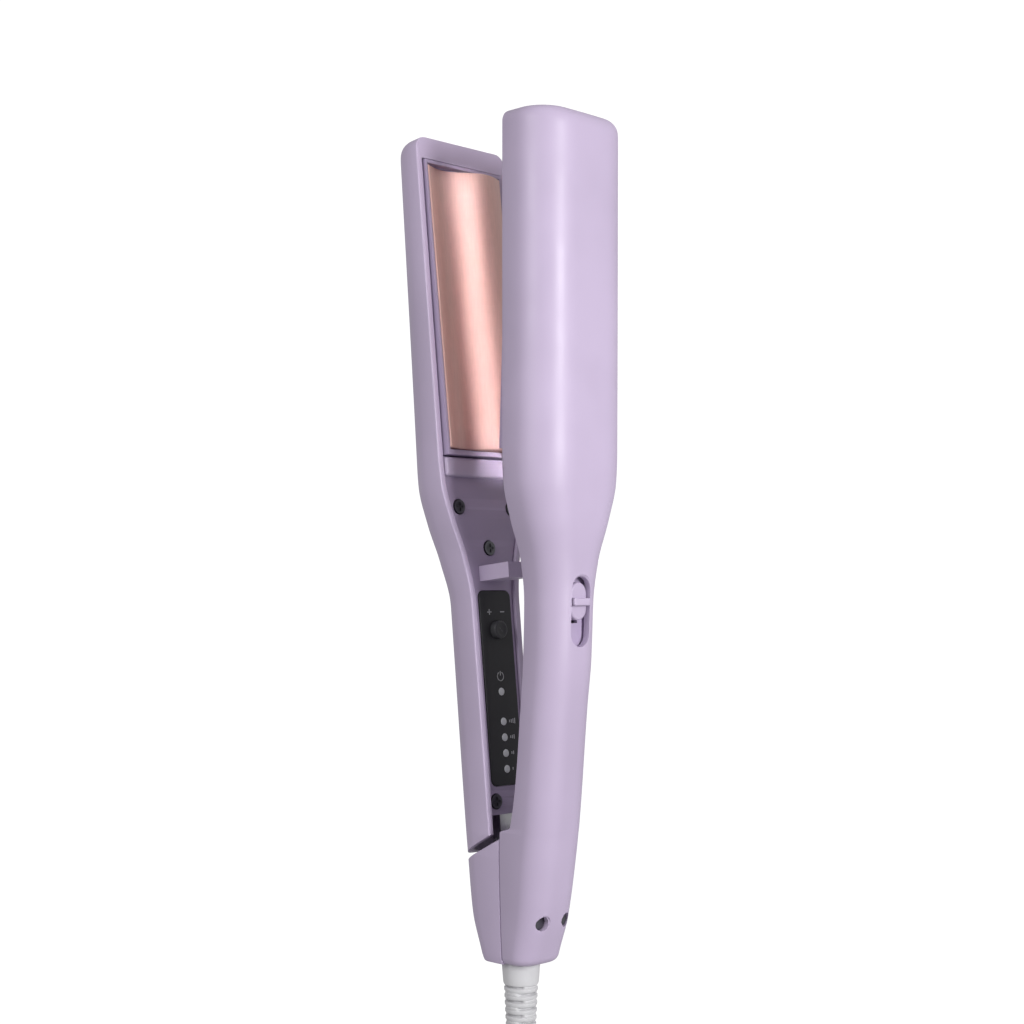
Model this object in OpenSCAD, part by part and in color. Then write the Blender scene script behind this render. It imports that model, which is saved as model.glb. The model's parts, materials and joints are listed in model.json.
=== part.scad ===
// Wide wave-plate flat iron, lying open on its side.
// Design coordinates: x runs from the cord end to the tips, y from the fixed arm to the moving arm,
// z is the width, with 0 in the middle. place() moves them to the row frame, on the surface z = 0.
// The moving arm is drawn in arm coordinates, which are turned by arm_tilt about the hinge.

/* [Arms] */
// Length from the cord end of the base to the tips
length = 292; // [290:1:294]
// Width of both barrels
barrel_w = 44; // [43.6:0.1:44.4]
// Wall of the shells
wall = 2.4; // [2.2:0.1:2.5]
// Angle of the moving arm to the x axis when open
arm_tilt = 6; // [5.8:0.1:6.2]

/* [Hinge] */
// Distance of the hinge axis from the cord end
hinge_x = 26; // [25.8:0.1:26.2]
// Offset of the hinge axis from the cord axis
hinge_y = 4; // [3.9:0.1:4.1]
// Radius of the hinge pin
pin_r = 2.5; // [2.4:0.1:2.6]
// Radial clearance of a running fit
running = 0.05; // [0.03:0.01:0.08]

/* [Plates] */
// Length of a heating plate
plate_l = 102; // [100:1:104]
// Width of a heating plate
plate_w = 35.4; // [35:0.1:35.8]
// Height of the wave above and below its middle
wave_h = 2.5; // [2.2:0.1:2.6]
// Thickness of a plate below the middle of its wave
plate_t = 4.5; // [4.4:0.1:4.6]

/* [Controls] */
// Length of the control panel
panel_l = 69; // [66:1:70]
// Width of the control panel
panel_w = 15.6; // [15:0.1:16]
// Diameter of the push button
button_d = 6.4; // [6:0.1:6.8]
// Diameter of a lamp lens
lamp_d = 2.8; // [2.6:0.1:3]
// Length of the lock slot
slot_l = 24; // [23.5:0.5:24.5]
// Width of the lock slot
slot_w = 9; // [8.9:0.1:9.1]

/* [Cord] */
// Diameter of the cord
cord_d = 6.5; // [6.4:0.1:6.6]
// Length of the strain relief outside the base
relief_l = 42; // [42:1:42]

/* [Hidden] */
$fn = 48;

lilac = [0.72, 0.66, 0.78];
lilac_dark = [0.62, 0.56, 0.68];
rose_gold = [0.80, 0.56, 0.50];
steel = [0.75, 0.75, 0.77];
panel_black = [0.16, 0.16, 0.17];
lamp_grey = [0.75, 0.76, 0.78];
white = [0.93, 0.93, 0.94];
ceramic = [0.90, 0.88, 0.84];
board_green = [0.10, 0.35, 0.20];

// The row frame's origin: under the middle of the object's box
origin_x = 146;
origin_y = 6.3;
barrel_h = barrel_w / 2;
gap = 0.25; // between neighbouring pieces of one body
corner_steps = 6;

// Stations of the fixed arm: x, half width, outer face, rim, corner radius
fixed_st = [
    [0, 8.6, -9, -1, 5], [1.2, 9.9, -10.8, -1, 6], [4, 10.6, -12.8, -1, 6.6], [16, 11.2, -17, -1, 8],
    [40, 11.8, -21.2, -1, 9], [46, 11.8, -22, -1, 9], [48, 11.8, -22.3, -6, 9],
    [90, 11.8, -26.2, -11.2, 9], [106, 11.9, -28, -12.5, 9.2], [126, 12.1, -28.9, -13.2, 9.5],
    [140, 14, -29.8, -13.4, 10], [154, 18.4, -31.8, -12.8, 12], [167, 21.6, -33.2, -12.6, 13.5],
    [176, barrel_h, -33.6, -12.6, 14], [length - 4, barrel_h, -34, -12.6, 14],
    [length - 1.2, barrel_h - 1.2, -32.8, -12.6, 12.8], [length, barrel_h - 3.6, -30.2, -12.6, 10.6]];

// Stations of the moving arm, in arm coordinates
moving_l = length + 0.6;
moving_st = [
    [31, 11.7, 18.4, 3, 8.6], [34, 11.8, 19.1, 2.4, 9], [50, 11.8, 19.3, 2, 9], [126, 12, 19, 2, 9.5],
    [142, 14.4, 20.8, 2.4, 10], [155, 18.5, 22.2, 2.8, 11.4], [168, 21.6, 22.6, 3, 12],
    [178, barrel_h, 22.2, 3, 12], [moving_l - 4, barrel_h, 19.4, 3, 12],
    [moving_l - 1.2, barrel_h - 1.2, 18.2, 3, 10.8], [moving_l, barrel_h - 3.6, 15.8, 3, 8.6]];

// Stations of the rear cover of the base
base_st = [
    [0, 8.6, 9.4, -0.8, 5], [1.2, 9.9, 11.4, -0.8, 6], [4, 10.6, 13.6, -0.8, 6.6],
    [16, 11.2, 17.8, -0.8, 8], [34, 11.7, 20.2, -0.8, 9], [44, 11.8, 21, -0.8, 9]];
base_wall = 2;

// Places along the arms
carrier_x = 178.1;
carrier_end = length - 7.6;
plate_x = carrier_end - 1.9 - plate_l;
cover_x = 177.6;
catch_x = 133.4;
catch_w = 12.4;
slot_x = 110.5;
slider_travel = 8;
pad_l = slot_l - slider_travel - 3;
button_x = 116;
panel_x = 61;
lamp_xs = [94];
heat_xs = [for (k = [0:3]) 83.4 - 5.6 * k];
base_screw_x = 15.6;
base_screw_z = 5.6;
cover_drop = 1; // inner covers lie this far below the rims
cover_t = 2;
moving_screw_at = [[160, 13], [160, -13], [145.4, 0], [55.7, 6.2]];
fixed_screw_at = [[160, 12.6], [160, -12.6], [100, 0], [57, 0]];

// A smooth monotone curve through column c of a table of stations
function find(t, x, i = 0) = i >= len(t) - 2 || x < t[i + 1][0] ? i : find(t, x, i + 1);
function slope(t, c, i) = (t[i + 1][c] - t[i][c]) / (t[i + 1][0] - t[i][0]);
function tangent(t, c, i) =
    i == 0 ? slope(t, c, 0) :
    i == len(t) - 1 ? slope(t, c, i - 1) :
    let (a = slope(t, c, i - 1), b = slope(t, c, i)) a * b <= 0 ? 0 : 2 * a * b / (a + b);
function at(t, c, x) =
    let (i = find(t, x), d = t[i + 1][0] - t[i][0], u = (x - t[i][0]) / d)
    let (p = t[i][c], q = t[i + 1][c], m = tangent(t, c, i) * d, n = tangent(t, c, i + 1) * d)
    (2 * u ^ 3 - 3 * u ^ 2 + 1) * p + (u ^ 3 - 2 * u ^ 2 + u) * m
    + (3 * u ^ 2 - 2 * u ^ 3) * q + (u ^ 3 - u ^ 2) * n;

// Half of a rounded box from rim to rim, as points [y, z]; side is -1 or 1 for the way it faces
function path(h, outer, rim, r, side) = concat(
    [[rim, h]],
    [for (k = [0:corner_steps]) let (a = 90 * k / corner_steps)
        [outer - side * r * (1 - sin(a)), h - r * (1 - cos(a))]],
    [for (k = [corner_steps:-1:0]) let (a = 90 * k / corner_steps)
        [outer - side * r * (1 - sin(a)), -h + r * (1 - cos(a))]],
    [[rim, -h]]);
function skin(t, x, side, inset = 0) = path(at(t, 1, x) - inset, at(t, 2, x) - side * inset,
    at(t, 3, x), at(t, 4, x) - inset, side);
// The same number of points spread straight along the rim, which closes a channel's end
function lid(t, x, side, inset) = let (n = 2 * corner_steps + 4, h = at(t, 1, x) - inset)
    [for (k = [0:n - 1]) [at(t, 3, x), h * (1 - 2 * k / (n - 1))]];
// And spread round half of the strain relief's hole, for the wall at the cord end
relief_hole_r = 6.8;
function half_hole(t, x, side) = let (n = 2 * corner_steps + 4, a = asin(side * at(t, 3, x) / relief_hole_r))
    [for (k = [0:n - 1]) let (b = a + (180 - 2 * a) * k / (n - 1))
        [side * relief_hole_r * sin(b), relief_hole_r * cos(b)]];

// A solid through rings of one length; each ring is an outer path and then an inner one
module channel(xs, outers, inners, side) {
    n = len(outers[0]);
    m = len(xs);
    points = [for (i = [0:m - 1]) each concat(
        [for (p = outers[i]) [xs[i], p[0], p[1]]],
        [for (p = inners[i]) [xs[i], p[0], p[1]]])];
    function id(i, k) = i * 2 * n + k;
    loop = [for (k = [0:n - 1]) k, for (k = [n - 1:-1:0]) n + k];
    sides = [for (i = [0:m - 2], k = [0:2 * n - 1]) let (a = loop[k], b = loop[(k + 1) % (2 * n)])
        each [[id(i, a), id(i, b), id(i + 1, b)], [id(i, a), id(i + 1, b), id(i + 1, a)]]];
    ends = [for (k = [0:n - 2])
        each [[id(0, k + 1), id(0, k), id(0, n + k)], [id(0, k + 1), id(0, n + k), id(0, n + k + 1)],
            [id(m - 1, k), id(m - 1, k + 1), id(m - 1, n + k)],
            [id(m - 1, k + 1), id(m - 1, n + k + 1), id(m - 1, n + k)]]];
    faces = concat(sides, ends);
    polyhedron(points = points, faces = side > 0 ? [for (f = faces) [f[2], f[1], f[0]]] : faces);
}

// A bar through rectangles: stations x, low y, high y, half width
module bar_through(st) {
    m = len(st);
    points = [for (s = st) each [[s[0], s[1], s[3]], [s[0], s[1], -s[3]], [s[0], s[2], -s[3]],
        [s[0], s[2], s[3]]]];
    sides = [for (i = [0:m - 2], k = [0:3]) let (a = 4 * i + k, b = 4 * i + (k + 1) % 4)
        each [[a, b, b + 4], [a, b + 4, a + 4]]];
    faces = concat(sides, [[3, 2, 1], [3, 1, 0]], [let (e = 4 * m - 4) each [[e, e + 1, e + 2],
        [e, e + 2, e + 3]]]);
    polyhedron(points = points, faces = [for (f = faces) [f[2], f[1], f[0]]]);
}

// A skin that is all facets is also cut as facets, since nothing that fits or turns depends on it
module facets() resize([0, 0, 0]) children();
module place() translate([-origin_x, -origin_y, barrel_h]) children();
module in_arm() translate([hinge_x, hinge_y, 0]) rotate([0, 0, arm_tilt])
    translate([-hinge_x, -hinge_y, 0]) children();
module along_x(x, y, z, l, r) translate([x, y, z]) rotate([0, 90, 0]) cylinder(h = l, r = r);
module along_y(x, y, z, l, r) translate([x, y, z]) rotate([-90, 0, 0]) cylinder(h = l, r = r);
module block(x0, x1, y0, y1, half) translate([x0, y0, -half]) cube([x1 - x0, y1 - y0, 2 * half]);
// A stadium in the x-z plane, w wide and l long, from y0 to y1
module stadium(x0, l, w, y0, y1, z = 0) {
    translate([x0 + w / 2, y0, z - w / 2]) cube([l - w, y1 - y0, w]);
    for (x = [x0 + w / 2, x0 + l - w / 2]) along_y(x, y0, z, y1 - y0, w / 2);
}

fixed_rings = [0, 1.2, 2.2, 2.6, 6, 12.4, 18.8, 28, 40, 46, 48, 62, 76, 90, 98, 106, 116, 126, 137, 147,
    154, 160, 167, 176, 230, carrier_end + 0.2, carrier_end + 0.6, length - 4, length - 2.4, length - 1.2,
    length];
module fixed_shell() color(lilac) place() facets() difference() {
    xs = fixed_rings;
    channel(xs, [for (x = xs) skin(fixed_st, x, -1)],
        [for (x = xs) x > carrier_end + 0.4 ? lid(fixed_st, x, -1, wall)
            : x < 2.5 ? half_hole(fixed_st, x, -1) : skin(fixed_st, x, -1, wall)], -1);
    stadium(slot_x, slot_l, slot_w, -34, -22, $fn = 12);
    for (z = [-base_screw_z, base_screw_z]) along_y(base_screw_x, -30, z, 20, 2.5, $fn = 16);
}

module fixed_cover() color(lilac_dark) place() difference() {
    bar_through([for (x = [50, 62, 76, 90, 106, 126, 133, 140, 147, 154, 160, 167, 172, cover_x])
        [x, at(fixed_st, 3, x) - cover_drop - cover_t, at(fixed_st, 3, x) - cover_drop,
            at(fixed_st, 1, x) - wall - gap]]);
    block(catch_x - 3, 151.5, -25, 0, catch_w / 2 + 1.2);
    for (p = fixed_screw_at) screw_hole(p[0], at(fixed_st, 3, p[0]) - cover_drop, p[1], -1);
}

// The upper edge of the rear cover falls from the back to the seam
module base_cut() polygon([[33.2, 30], [33.2, 20.4], [34.4, 16.8], [43.4, -0.7], [60, -0.7], [60, 30]]);
module base_cover() color(lilac) place() facets() difference() {
    xs = [0, 1.2, 2.2, 2.6, 6, 12, 20, 28, 44];
    channel(xs, [for (x = xs) skin(base_st, x, 1)],
        [for (x = xs) x < 2.5 ? half_hole(base_st, x, 1) : skin(base_st, x, 1, base_wall)], 1);
    translate([0, 0, -20]) linear_extrude(40) base_cut();
}

// Plates, carriers and heaters share one profile frame: x along the arm, the plate's middle at 0,
// and up out of the plate. wave() is the same curve on both plates, so they mesh when closed.
function wave(z) = wave_h * sin(360 * (z / plate_w - 0.5));
module plate_profile(up) {
    n = 40;
    polygon(concat(
        [for (k = [0:n]) let (z = plate_w * (k / n - 0.5)) [-wave(z), z]],
        [[-up * plate_t, plate_w / 2], [-up * plate_t, -plate_w / 2]]));
}
// Profiles are drawn as [y, z] and run along x
module run(x0, l) translate([x0, 0, 0]) rotate([90, 0, 90]) linear_extrude(l) children();
heater_t = 2.4;
carrier_d = plate_t + heater_t + 1.1;
carrier_h = barrel_h - wall - 0.7;
module pocket(floor, up) polygon([for (p = [[4, 1], [floor, 1], [floor, -1], [4, -1]])
    [p[0] * up, p[1] * (plate_w / 2 + 0.15)]]);
module carrier(up) difference() {
    run(carrier_x, carrier_end - carrier_x) polygon([[-0.5 * up, carrier_h],
        [-(carrier_d - 2.4) * up, carrier_h], [-carrier_d * up, carrier_h - 2.4],
        [-carrier_d * up, 2.4 - carrier_h], [-(carrier_d - 2.4) * up, -carrier_h],
        [-0.5 * up, -carrier_h]]);
    run(plate_x - 0.15, plate_l + 0.3) pocket(-plate_t - heater_t - 0.1, up);
    // room for the other plate's crests, which come down a little further along
    run(plate_x - 0.7, plate_l + 1.4) pocket(-wave_h - 0.4, up);
}
module heater(up) translate([plate_x + 8, up > 0 ? -plate_t - heater_t - 0.05 : plate_t + 0.05, -9])
    cube([plate_l - 16, heater_t, 18]);

// The fixed plate stands further out of its barrel at the handle end, so that it meets the other one
module fixed_seat() translate([plate_x, -7.9, 0]) rotate([0, 0, -2.2]) translate([-plate_x, 0, 0])
    children();
module moving_seat() in_arm() translate([plate_x, 0.5, 0]) rotate([0, 0, 0.75])
    translate([-plate_x, 0, 0]) children();
module fixed_carrier() color(lilac_dark) place() fixed_seat() carrier(1);
module fixed_plate() color(rose_gold) place() fixed_seat() run(plate_x, plate_l) plate_profile(1);
module fixed_heater() color(ceramic) place() fixed_seat() heater(1);
module moving_carrier() color(lilac_dark) place() moving_seat() carrier(-1);
module moving_plate() color(rose_gold) place() moving_seat() run(plate_x, plate_l) plate_profile(-1);
module moving_heater() color(ceramic) place() moving_seat() heater(-1);

// Screws sit in counterbores; side is the way the arm's outer face lies
head_r = 2.5;
head_t = 1.3;
module screw_hole(x, y, z, side) {
    along_y(x, y - 20, z, 40, 1.45);
    along_y(x, side > 0 ? y - 10 : y - 0.9, z, 10.9, head_r + 0.35);
}
module screw(x, y, z, side, l) difference() {
    union() {
        along_y(x, side > 0 ? y - 0.5 : y - 0.8, z, head_t, head_r);
        along_y(x, side > 0 ? y : y - l, z, l, 1.25);
    }
    for (a = [0, 90]) translate([x, side > 0 ? y - 1 : y + 1, z]) rotate([0, a, 0])
        cube([3.2, 1.6, 0.7], center = true);
}
module post(x, y0, y1, z) difference() {
    along_y(x, y0, z, y1 - y0, 3);
    along_y(x, y0 - 1, z, y1 - y0 + 2, 1.3);
}
// How far a post's foot keeps off the wall, which comes round toward it at the channel's corners
function foot(t, x, z) = let (h = at(t, 1, x - 3) - wall, r = at(t, 4, x) - wall,
    w = min(r, max(0, abs(z) + 3 - h + r))) max(1.5, r - sqrt(r * r - w * w) + 0.5);
module fixed_posts() color(lilac_dark) place() for (p = fixed_screw_at)
    post(p[0], at(fixed_st, 2, p[0]) + wall + foot(fixed_st, p[0], p[1]),
        at(fixed_st, 3, p[0]) - cover_drop - cover_t - 0.5, p[1]);
module fixed_screws() color(steel) place() for (p = fixed_screw_at)
    screw(p[0], at(fixed_st, 3, p[0]) - cover_drop, p[1], -1, 7);

// The lock: a pad in the slot, a neck through the guide, and a bar that ends in a hook
guide_y = -24.6;
pad_x = slot_x + slot_l - pad_l - 1.9;
neck_x = pad_x + 7.4;
module slider_guide() color(lilac_dark) place() difference() {
    block(slot_x - 5, slot_x + slot_l + 5, guide_y, guide_y + 1.5, 5.8);
    block(neck_x - slider_travel - 0.4, neck_x + 4.8, guide_y - 1, guide_y + 3, 2.3);
}
module lock_slider() color(lilac) place() {
    stadium(pad_x, pad_l, slot_w - 1, -27.7, guide_y - 0.15);
    block(pad_x + 5, pad_x + 7.6, -29.6, -27.4, slot_w / 2 - 0.6);
    block(neck_x, neck_x + 4.4, guide_y - 0.3, guide_y + 2, 2);
    block(neck_x - 2, 151, guide_y + 1.7, guide_y + 3.7, 3.4);
    block(148.6, 151, guide_y + 3.5, -14.2, 3.4);
    block(146, 148.8, -15.4, -14.2, 3.4);
}

// The hinge: a steel bracket with two ears, a pin, a spring, and the moving arm's knuckle
ear_z = 5.2;
ear_t = 1.8;
module hinge_frame() color(steel) place() difference() {
    union() {
        for (s = [-1, 1]) translate([0, 0, s > 0 ? ear_z : -ear_z - ear_t]) linear_extrude(ear_t) union() {
            translate([hinge_x, hinge_y]) circle(r = 6);
            translate([hinge_x - 6, -12.8]) square([12, 12.8 + hinge_y]);
        }
        block(19.5, 32, -12.9, -11.4, ear_z + ear_t);
    }
    translate([hinge_x, hinge_y, -20]) cylinder(h = 40, r = pin_r + running);
}
module hinge_pin() color(steel) place() translate([hinge_x, hinge_y, -ear_z - ear_t - 0.4])
    cylinder(h = 2 * (ear_z + ear_t + 0.4), r = pin_r);
module hinge_tongue() color(steel) place() difference() {
    union() {
        translate([hinge_x, hinge_y, -4.9]) cylinder(h = 5.5, r = 5.6);
        in_arm() translate([hinge_x, 5.4, -4.9]) cube([36, 4.2, 5.5]);
        in_arm() translate([hinge_x + 12, 5.4, -4.9]) cube([24, 4.2, 7.5]);
    }
    translate([hinge_x, hinge_y, -20]) cylinder(h = 40, r = pin_r + running);
}
spring_r = 4;
wire_r = 0.55;
module opening_spring() color(steel) place() {
    for (k = [0:2]) translate([hinge_x, hinge_y, 1.5 + 1.25 * k]) rotate_extrude()
        translate([spring_r, 0]) circle(r = wire_r);
    translate([hinge_x + 3.2, hinge_y + 3.2, 2.75]) rotate([0, 90, 6]) cylinder(h = 8, r = wire_r);
}
module base_screws() color(steel) place() for (z = [-base_screw_z, base_screw_z]) {
    along_y(base_screw_x, -14.4, z, 2, 2.2);
    along_y(base_screw_x, -13, z, 12, 1.2);
}
module cord_clamp() color(lilac_dark) place() difference() {
    block(9.6, 14, -4.6, 5, 7.6);
    along_x(5, 0, 0, 20, cord_d / 2 + running);
    for (z = [-base_screw_z, base_screw_z]) along_y(base_screw_x, -20, z, 40, 2.6);
}

// The strain relief: a flange, a smooth collar and rings that taper along the cord
ribs = 13;
rib_pitch = 2.5;
module strain_relief() color(white) place() rotate([0, -90, 0]) rotate_extrude() polygon(concat(
    [[0, -16], [cord_d / 2, -16], [cord_d / 2, -5], [8, -5], [8, -3], [6.5, -3], [6.5, 0.2], [6.7, 0.4],
        [6.3, 7.6]],
    [for (k = [0:ribs - 1]) let (x = 8 + rib_pitch * k, r = 5.9 - 0.11 * k)
        each [[r - 1.3, x], [r - 1.3, x + 0.9], [r, x + 1.1], [r - 0.05, x + rib_pitch - 0.2]]],
    [[4.4, relief_l - 1.4], [4.2, relief_l], [0, relief_l]]));

// The free cord: out of the relief, down to the surface, into a hank held by a tie, and to its plug.
// The hank is a stack of racetrack turns; the lead comes in at its foot and the tail leaves its top.
cord_r = cord_d / 2;
floor_z = -barrel_h;
turn_r = 22;
turn_count = 5;
layer = 6.8;
hank_lift = 1;
hank_x1 = -124; // end of the hank's outline nearest the iron
hank_w = 2 * (turn_r + cord_r + 0.05);
hank_l = hank_w + 84;
hank_h = layer * turn_count + cord_d + 0.2;
lead = [[-42, 0, 0], [-54, 0, 0], [-62, 0.5, -0.4], [-70, 2.1, -1.7], [-78, 4.5, -3.7], [-86, 7.6, -6.1],
    [-94, 11, -8.8], [-102, 14.4, -11.6], [-110, 17.5, -14], [-118, 19.9, -16], [-126, 21.5, -17.3],
    [-134, 22, -17.7]];
tail = [[-246, 22, 16.3], [-252.6, 22, 15.7], [-259.2, 22, 13.8], [-265.8, 22, 10.9], [-272.4, 22, 7.2],
    [-279, 22, 3.2], [-285.6, 22, -0.9], [-292.2, 22, -4.6], [-298.8, 22, -7.5], [-305.4, 22, -9.4],
    [-312, 22, -10]];
function unit(v) = v / norm(v);
module tube_through(pts, r, n = 10) {
    m = len(pts);
    function way(i) = unit(pts[min(i + 1, m - 1)] - pts[max(i - 1, 0)]);
    points = [for (i = [0:m - 1]) let (t = i == 0 || i == m - 1 ? [-1, 0, 0] : way(i),
        s = unit(cross([0, 0, 1], t)), u = cross(t, s))
        each [for (k = [0:n - 1]) pts[i] + r * (cos(360 * k / n) * s + sin(360 * k / n) * u)]];
    sides = [for (i = [0:m - 2], k = [0:n - 1]) let (a = n * i + k, b = n * i + (k + 1) % n)
        each [[a, b + n, b], [a, a + n, b + n]]];
    faces = concat(sides, [[for (k = [0:n - 1]) k]], [[for (k = [n - 1:-1:0]) n * (m - 1) + k]]);
    polyhedron(points = points, faces = faces);
}
module power_cord() color(white) place() for (stretch = [lead, tail]) tube_through(stretch, cord_r);
module obround(l, w, h) linear_extrude(h) union() {
    translate([-l + w / 2, -w / 2]) square([l - w, w]);
    for (x = [-w / 2, -l + w / 2]) translate([x, 0]) circle(r = w / 2);
}
module cord_hank() color(white) place() translate([hank_x1, 0, floor_z + hank_lift])
    obround(hank_l, hank_w, hank_h);
tie_w = 12;
tie_t = 0.8;
module cord_tie() color(white) place() difference() {
    translate([hank_x1 - (hank_l + tie_w) / 2, -hank_w / 2 - tie_t - 0.2, floor_z])
        cube([tie_w, hank_w + 2 * tie_t + 0.4, hank_h + tie_t + 1.2]);
    translate([hank_x1 - hank_l, -hank_w / 2 - 0.2, floor_z + tie_t])
        cube([hank_l, hank_w + 0.4, hank_h + 0.4]);
}
plug_x = tail[len(tail) - 1][0];
plug_y = tail[0][1];
plug_z = tail[len(tail) - 1][2];
pin_gap = 9.5;
module plug_body() color(white) place() difference() {
    union() {
        along_x(plug_x - 14, plug_y, plug_z, 14, 4.6);
        hull() {
            translate([plug_x - 18, plug_y - 7, plug_z - 7]) cube([6, 14, 14]);
            translate([plug_x - 50, plug_y - 17, plug_z - 12]) cube([24, 34, 24]);
        }
    }
    for (y = [-pin_gap, pin_gap]) along_x(plug_x - 51, plug_y + y, plug_z, 11, 2.4);
}
module plug_pins() color(steel) place() for (y = [-pin_gap, pin_gap]) {
    along_x(plug_x - 69, plug_y + y, plug_z, 29, 2.35);
    translate([plug_x - 69, plug_y + y, plug_z]) sphere(r = 2.35);
}

moving_rings = [31, 34, 42, 50, 70, 90, 110, 126, 134, 142, 148, 155, 161, 168, 178, 230,
    carrier_end + 0.4, carrier_end + 0.8, moving_l - 4, moving_l - 2.4, moving_l - 1.2, moving_l];
module moving_shell() color(lilac) place() facets() difference() {
    xs = moving_rings;
    in_arm() channel(xs, [for (x = xs) skin(moving_st, x, 1)],
        [for (x = xs) x > carrier_end + 0.6 ? lid(moving_st, x, 1, wall)
            : skin(moving_st, x, 1, wall)], 1);
    // the tail is cut parallel to the upper edge of the rear cover
    translate([0, 0, -20]) linear_extrude(40) polygon([[20, 30], [20, -5], [47.4, -5], [46.6, 0],
        [36, 19.2], [34.6, 30]]);
}
module moving_cover() color(lilac_dark) place() in_arm() difference() {
    union() {
        bar_through([for (x = [51, 70, 90, 110, 126, 134, 142, 148, 155, 161, 168, 173, cover_x])
            let (y = at(moving_st, 3, x) + cover_drop)
            [x, y, y + cover_t, at(moving_st, 1, x) - wall - gap]]);
        bar_through([for (x = [cover_x - 7, 173, cover_x]) [x, 2.2, 4.2, at(moving_st, 1, x) - wall - gap]]);
    }
    for (p = moving_screw_at) screw_hole(p[0], at(moving_st, 3, p[0]) + cover_drop, p[1], 1);
    translate([panel_x - 0.2, -5, -panel_w / 2 - 0.2]) cube([panel_l + 0.4, 20, panel_w + 0.4]);
}
module moving_posts() color(lilac_dark) place() in_arm() for (p = moving_screw_at)
    post(p[0], at(moving_st, 3, p[0]) + cover_drop + cover_t + 0.35,
        at(moving_st, 2, p[0]) - wall - foot(moving_st, p[0], p[1]), p[1]);
module moving_screws() color(steel) place() in_arm() for (p = moving_screw_at)
    screw(p[0], at(moving_st, 3, p[0]) + cover_drop, p[1], 1, 7);

catch_y = 3.1; // where the catch meets the cover
catch_tip = -11.6;
module catch_block() color(lilac) place() in_arm() difference() {
    block(catch_x, catch_x + 5.4, catch_tip, catch_y, catch_w / 2);
    block(catch_x + 3.7, catch_x + 6, catch_tip + 1.5, catch_tip + 4.2, 4.2);
}

// The panel and what lies behind it, from the rim inwards
panel_y = 2.6;
module rounded_panel(y0, y1, grow = 0) {
    r = 2.4;
    translate([panel_x + r, y0, -panel_w / 2]) cube([panel_l - 2 * r, y1 - y0, panel_w]);
    translate([panel_x, y0, -panel_w / 2 + r]) cube([panel_l, y1 - y0, panel_w - 2 * r]);
    for (x = [panel_x + r, panel_x + panel_l - r], z = [-1, 1])
        along_y(x, y0, z * (panel_w / 2 - r), y1 - y0, r);
}
module control_panel() color(panel_black) place() in_arm() difference() {
    rounded_panel(panel_y, panel_y + 2);
    along_y(button_x, 0, 0, 10, button_d / 2 + 0.2);
    for (x = concat(lamp_xs, heat_xs)) along_y(x, 0, 0, 10, lamp_d / 2 + 0.02);
}
module lamps(xs) for (x = xs) along_y(x, panel_y - 0.15, 0, 3.6, lamp_d / 2);
module power_lamp() color(lamp_grey) place() in_arm() lamps(lamp_xs);
module heat_lamps() color(lamp_grey) place() in_arm() lamps(heat_xs);
module power_button() color(panel_black) place() in_arm() along_y(button_x, panel_y - 2.4, 0, 5.1,
    button_d / 2);
module tact_switch() color(steel) place() in_arm() {
    block(button_x - 3, button_x + 3, 8.8, 10.6, 3);
    along_y(button_x, 8.2, 0, 0.7, 1.7);
}
module circuit_board() color(board_green) place() in_arm() block(64, 127, 10.7, 12.2, 7.6);

fixed_shell();
fixed_cover();
base_cover();
fixed_carrier();
fixed_plate();
fixed_heater();
fixed_posts();
fixed_screws();
slider_guide();
hinge_frame();
hinge_pin();
opening_spring();
base_screws();
cord_clamp();
strain_relief();
power_cord();
cord_hank();
cord_tie();
plug_body();
plug_pins();
moving_shell();
moving_cover();
moving_carrier();
moving_plate();
moving_heater();
moving_posts();
moving_screws();
hinge_tongue();
catch_block();
control_panel();
circuit_board();
tact_switch();
power_lamp();
heat_lamps();
lock_slider();
power_button();
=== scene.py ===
import json
import math

import bmesh
import bpy
from mathutils import Matrix, Vector


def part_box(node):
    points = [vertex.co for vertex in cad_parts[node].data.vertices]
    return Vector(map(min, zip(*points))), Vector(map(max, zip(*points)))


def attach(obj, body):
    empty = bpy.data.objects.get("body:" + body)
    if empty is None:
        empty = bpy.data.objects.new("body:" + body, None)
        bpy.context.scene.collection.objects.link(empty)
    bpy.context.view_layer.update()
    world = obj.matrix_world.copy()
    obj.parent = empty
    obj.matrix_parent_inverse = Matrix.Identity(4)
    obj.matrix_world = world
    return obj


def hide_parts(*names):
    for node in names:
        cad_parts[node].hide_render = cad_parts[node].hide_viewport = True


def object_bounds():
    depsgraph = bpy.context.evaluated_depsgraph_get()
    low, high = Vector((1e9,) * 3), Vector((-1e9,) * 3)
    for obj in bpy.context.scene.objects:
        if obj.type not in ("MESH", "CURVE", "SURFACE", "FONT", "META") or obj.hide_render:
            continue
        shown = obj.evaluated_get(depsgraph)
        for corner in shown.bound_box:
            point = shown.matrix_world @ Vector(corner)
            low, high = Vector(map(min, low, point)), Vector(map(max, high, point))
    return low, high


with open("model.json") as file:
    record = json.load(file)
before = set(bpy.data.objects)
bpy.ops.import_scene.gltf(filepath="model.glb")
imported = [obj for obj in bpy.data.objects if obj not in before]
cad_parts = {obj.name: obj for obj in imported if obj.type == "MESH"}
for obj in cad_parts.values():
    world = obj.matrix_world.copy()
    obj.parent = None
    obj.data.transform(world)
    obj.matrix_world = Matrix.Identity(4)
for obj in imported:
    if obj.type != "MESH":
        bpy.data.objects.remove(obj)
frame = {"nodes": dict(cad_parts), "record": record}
cad_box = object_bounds()

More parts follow.
